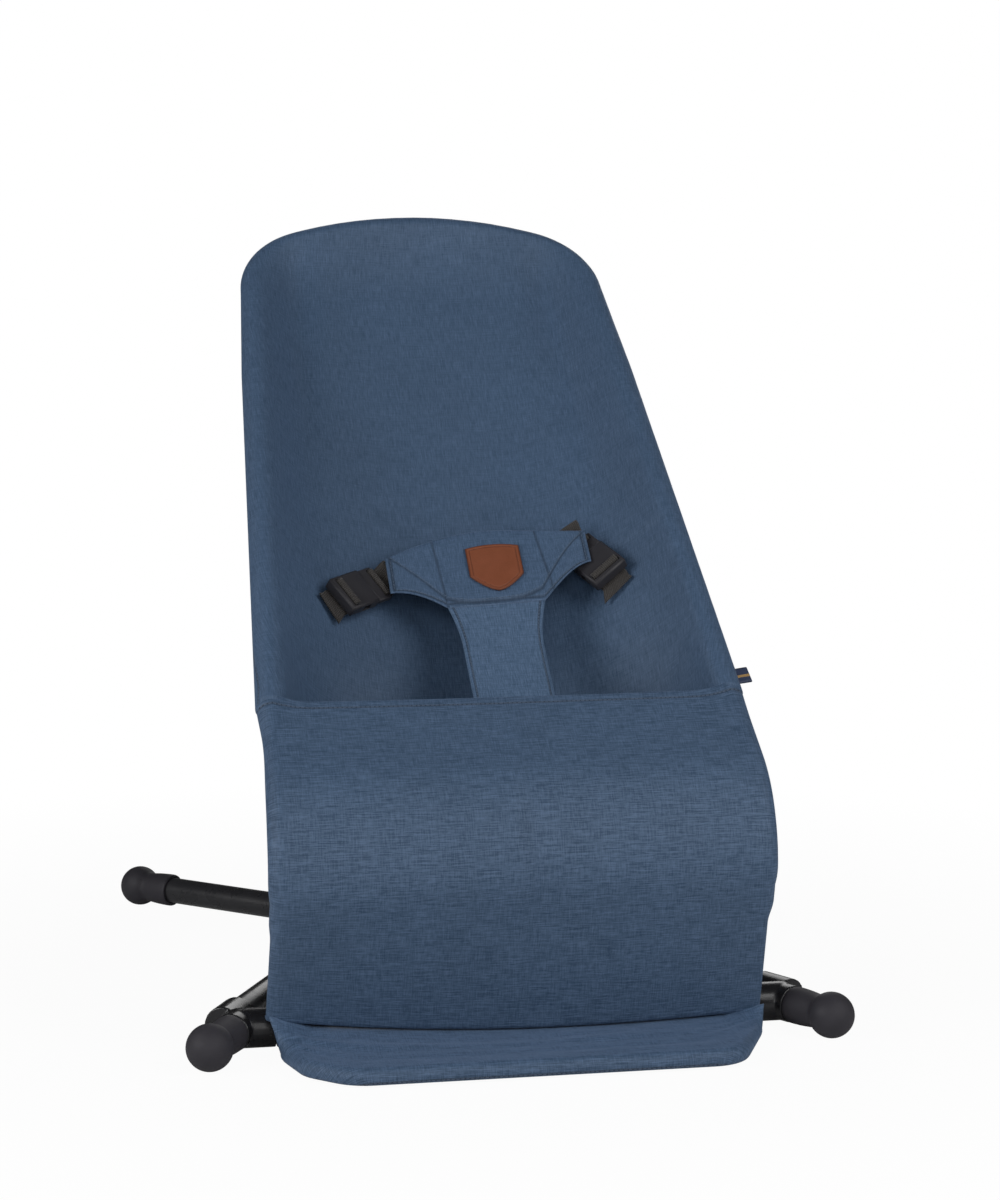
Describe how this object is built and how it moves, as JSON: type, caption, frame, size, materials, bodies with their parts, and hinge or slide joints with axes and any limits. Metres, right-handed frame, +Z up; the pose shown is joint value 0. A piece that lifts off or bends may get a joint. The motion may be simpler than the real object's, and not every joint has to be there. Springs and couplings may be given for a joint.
{
  "type": "folding baby bouncer",
  "caption": "Folding baby bouncer with a sling seat on bent tube rails, a hinged floor base, a prop stay on a sliding lock and a buckled restraint.",
  "frame": {"origin": "on the floor, under the middle of the bounding box", "axes": "+X to the seat's right in the picture, +Y from the foot flap to the head end, +Z up"},
  "size_m": [0.5012, 0.638, 0.599],
  "materials": {
    "coated_steel": "black powder coat, satin",
    "grey_steel": "dark grey coat, semi-gloss",
    "plated_steel": "zinc plated",
    "nylon": "moulded, semi-gloss",
    "foot_rubber": "matte",
    "melange_cloth": "woven blue melange",
    "webbing": "ribbed tape",
    "tan_leather": "embossed border, worn edge",
    "label_tape": "folded woven tape"
  },
  "bodies": {
    "base": {"front_crossbar": "coated_steel", "corner_fitting_left": "nylon", "corner_fitting_right": "nylon", "side_tube_left": "grey_steel", "side_tube_right": "grey_steel", "foot_front_left": "foot_rubber", "foot_front_right": "foot_rubber", "foot_rear_left": "foot_rubber", "foot_rear_right": "foot_rubber", "loop_clamp_left": "nylon", "loop_clamp_right": "nylon", "floor_loop": "coated_steel", "foot_pocket": "melange_cloth", "waist_bridge": "nylon", "waist_clamp": "nylon", "waist_screw_left": "plated_steel", "waist_screw_right": "plated_steel", "stay_pin": "plated_steel"},
    "seat": {"hinge_knuckle_left": "nylon", "hinge_knuckle_right": "nylon", "rail_left": "coated_steel", "rail_right": "coated_steel", "rail_joiner_left": "plated_steel", "rail_joiner_right": "plated_steel", "head_bow": "coated_steel", "cross_bow_lower": "coated_steel", "cross_bow_upper": "coated_steel", "recline_rack": "nylon", "back_sling": "melange_cloth", "seat_sling": "melange_cloth", "leg_panel": "melange_cloth", "crotch_stem": "melange_cloth", "waist_yoke": "melange_cloth", "leather_patch": "tan_leather", "side_label": "label_tape", "buckle_body_left": "nylon", "buckle_body_right": "nylon", "side_strap_left": "webbing", "side_strap_right": "webbing"},
    "stay": {"stay_bow": "coated_steel", "stay_hub": "nylon"},
    "slider": {"recline_slider": "nylon", "lock_spring": "plated_steel"},
    "plunger": {"lock_plunger": "nylon"},
    "tongue_left": {"buckle_tongue_left": "nylon", "tongue_strap_left": "webbing"},
    "tongue_right": {"buckle_tongue_right": "nylon", "tongue_strap_right": "webbing"}
  },
  "joints": [
    {"name": "seat_recline", "type": "hinge", "parent": "base", "child": "seat", "pos_m": [0, -0.20389, 0.017], "axis": [1, 0, 0], "range_deg": [-40, 0]},
    {"name": "stay_fold", "type": "hinge", "parent": "base", "child": "stay", "pos_m": [0, 0.07011, 0.038], "axis": [1, 0, 0], "range_deg": [-70, 0]},
    {"name": "slider_turn", "type": "hinge", "parent": "stay", "child": "slider", "pos_m": [0, 0.14263, 0.41102], "axis": [1, 0, 0], "range_deg": [0, 30]},
    {"name": "lock_pull", "type": "slide", "parent": "slider", "child": "plunger", "axis": [0, 0.6626, -0.749], "range_m": [0, 0.004], "stiffness_N_per_m": 400, "springref_m": -0.004, "deforming": ["lock_spring"]},
    {"name": "buckle_left_release", "type": "slide", "parent": "seat", "child": "tongue_left", "axis": [0.7596, 0.6327, 0.1505], "range_m": [0, 0.015]},
    {"name": "buckle_right_release", "type": "slide", "parent": "seat", "child": "tongue_right", "axis": [-0.4493, 0.7939, 0.4096], "range_m": [0, 0.015]}
  ],
  "couplings": [
    {"joint": "stay_fold", "follows": "seat_recline", "ratio": 1.743},
    {"joint": "slider_turn", "follows": "seat_recline", "ratio": -0.743}
  ]
}
